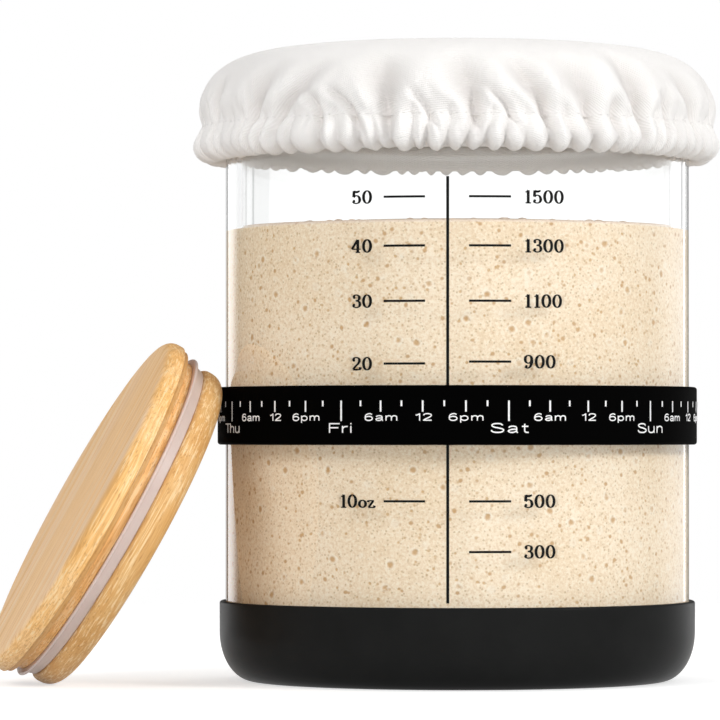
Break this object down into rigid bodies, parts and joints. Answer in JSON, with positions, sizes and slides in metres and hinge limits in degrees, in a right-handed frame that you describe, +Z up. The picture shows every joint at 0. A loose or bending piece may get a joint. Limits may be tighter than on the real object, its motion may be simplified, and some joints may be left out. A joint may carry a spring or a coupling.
{
  "type": "sourdough starter jar",
  "caption": "Glass starter jar in a silicone boot, with a sliding time band, a gathered cloth cover, its starter, and a bamboo lid with a seal leaning on its side.",
  "frame": {"origin": "on the jar's axis, at the middle of the boot's flat underside", "axes": "+Z up along the jar's axis; the printed scale and the picture's view face -Y; the lid leans on the -X side"},
  "size_m": [0.2069, 0.1488, 0.1807],
  "materials": {
    "silicone": "satin black silicone",
    "glass": "clear polished glass",
    "dough": "soft wet starter full of bubbles",
    "black_print": "fired black ink",
    "band": "matt black silicone",
    "white_print": "matt white ink",
    "cloth": "plain woven white cotton",
    "elastic": "knitted elastic",
    "bamboo": "oiled bamboo with long fine grain",
    "seal": "translucent white silicone"
  },
  "bodies": {
    "base": {"silicone_base": "silicone"},
    "jar": {"glass_jar": "glass", "starter_dough": "dough", "volume_scale": "black_print"},
    "band": {"time_band": "band"},
    "scale ring": {"time_scale": "white_print"},
    "cover": {"cloth_cover": "cloth", "cover_hem": "cloth", "hem_elastic": "elastic"},
    "lid": {"lid_top_plate": "bamboo", "lid_step": "bamboo", "lid_seal": "seal", "lid_plug_plate": "bamboo"}
  },
  "joints": [
    {"name": "jar_lift", "type": "slide", "parent": "base", "child": "jar", "axis": [0, 0, 1], "range_m": [0, 0.035]},
    {"name": "cover_lift", "type": "slide", "parent": "jar", "child": "cover", "axis": [0, 0, 1], "range_m": [0, 0.08]},
    {"name": "band_slide", "type": "slide", "parent": "jar", "child": "band", "axis": [0, 0, 1], "range_m": [-0.044, 0.064]},
    {"name": "band_turn", "type": "hinge", "parent": "band", "child": "scale ring", "pos_m": [0, 0, 0.0754], "axis": [0, 0, 1], "continuous": true},
    {"name": "lid_lift", "type": "slide", "parent": "base", "child": "lid", "axis": [-0.8574, -0.1729, 0.4848], "range_m": [0, 0.1]}
  ]
}
